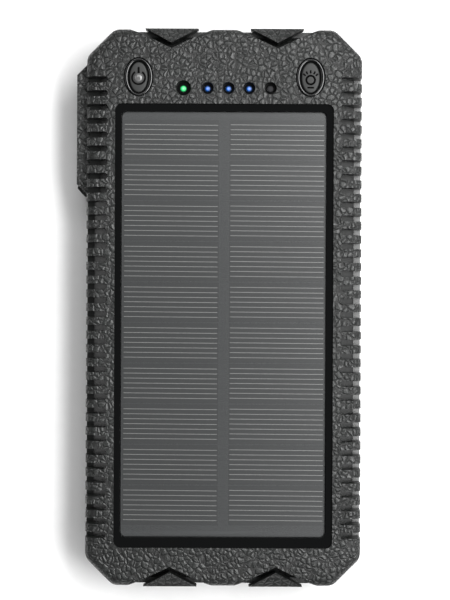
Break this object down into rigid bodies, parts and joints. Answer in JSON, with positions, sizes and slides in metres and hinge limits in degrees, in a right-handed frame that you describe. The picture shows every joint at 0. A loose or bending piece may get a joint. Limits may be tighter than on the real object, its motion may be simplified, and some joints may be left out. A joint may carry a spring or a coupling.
{
  "type": "solar phone charger",
  "caption": "Flat rugged power bank with a framed solar panel, ribbed rubber sides, push keys, indicator lights and a hinged rubber socket cover.",
  "frame": {"origin": "middle of the flat rear face that the charger rests on", "axes": "+Z out of the solar panel, +Y along the length towards the keys, +X to the side away from the socket cover"},
  "size_m": [0.0865, 0.169, 0.022],
  "materials": {
    "grained_rubber": "black TPU rubber with leather grain",
    "gloss_black": "gloss black ABS",
    "seal_rubber": "smooth black silicone rubber",
    "screw_steel": "zinc-plated steel",
    "circuit_board": "green solder mask on glass epoxy",
    "silicon": "dark silicon with silver finger lines",
    "panel_film": "matt encapsulating film",
    "white_tape": "white foam adhesive tape",
    "black_foam": "black foam pad",
    "red_wire": "red PVC insulation",
    "black_wire": "black PVC insulation",
    "key_plastic": "satin dark grey ABS",
    "black_plastic": "black moulded plastic",
    "clear_acrylic": "clear acrylic",
    "led_chip": "white and yellow light chip",
    "socket_steel": "bright nickel-plated steel",
    "socket_plastic": "white socket plastic",
    "ferrite": "dark grey ferrite",
    "capacitor_can": "aluminium can",
    "pouch_foil": "aluminium laminate pouch",
    "nickel": "nickel strip",
    "clear_lens": "clear polycarbonate",
    "white_plastic": "white reflector plastic"
  },
  "bodies": {
    "case": {"battery_foam": "black_foam", "battery_lead_black": "black_wire", "battery_lead_red": "red_wire", "board_screws": "screw_steel", "capacitors": "capacitor_can", "case_screws": "screw_steel", "cell_tabs": "nickel", "cell_tape": "white_tape", "charger_chip": "black_plastic", "chip_resistors": "black_plastic", "controller_chip": "black_plastic", "front_battery_cell": "pouch_foil", "front_bumper": "grained_rubber", "front_housing": "gloss_black", "housing_seal": "seal_rubber", "indicator_leds": "led_chip", "lamp_board": "circuit_board", "lamp_leads": "red_wire", "lamp_leds": "led_chip", "lamp_lens": "clear_lens", "lamp_reflector": "white_plastic", "lamp_seal": "seal_rubber", "lamp_switch": "black_plastic", "light_guide_holder": "black_plastic", "light_guides": "clear_acrylic", "main_board": "circuit_board", "panel_tape": "white_tape", "power_inductor": "ferrite", "power_switch": "black_plastic", "power_transistors": "black_plastic", "protection_board": "circuit_board", "rear_battery_cell": "pouch_foil", "rear_bumper": "grained_rubber", "rear_housing": "gloss_black", "screw_plugs": "grained_rubber", "solar_board": "circuit_board", "solar_cells": "silicon", "solar_cover_film": "panel_film", "solar_lead_black": "black_wire", "solar_lead_red": "red_wire", "usb_input": "socket_steel", "usb_input_tongue": "black_plastic", "usb_output_lower": "socket_steel", "usb_output_lower_tongue": "socket_plastic", "usb_output_upper": "socket_steel", "usb_output_upper_tongue": "socket_plastic"},
    "port_cover": {"port_cover": "grained_rubber"},
    "power_key": {"power_key": "key_plastic"},
    "lamp_key": {"lamp_key": "key_plastic"},
    "power_plunger": {"power_switch_plunger": "black_plastic"},
    "lamp_plunger": {"lamp_switch_plunger": "black_plastic"}
  },
  "joints": [
    {"name": "port_cover_hinge", "type": "hinge", "parent": "case", "child": "port_cover", "pos_m": [-0.0416, 0.07385, 0.011], "axis": [0, 0, -1], "range_deg": [0, 120]},
    {"name": "power_key_press", "type": "slide", "parent": "case", "child": "power_key", "axis": [0, 0, -1], "range_m": [0, 0.0003], "stiffness_N_per_m": 5000},
    {"name": "lamp_key_press", "type": "slide", "parent": "case", "child": "lamp_key", "axis": [0, 0, -1], "range_m": [0, 0.0003], "stiffness_N_per_m": 5000},
    {"name": "power_plunger_press", "type": "slide", "parent": "case", "child": "power_plunger", "axis": [0, 0, -1], "range_m": [0, 0.0003]},
    {"name": "lamp_plunger_press", "type": "slide", "parent": "case", "child": "lamp_plunger", "axis": [0, 0, -1], "range_m": [0, 0.0003]}
  ],
  "couplings": [
    {"joint": "power_plunger_press", "follows": "power_key_press", "ratio": 1},
    {"joint": "lamp_plunger_press", "follows": "lamp_key_press", "ratio": 1}
  ]
}
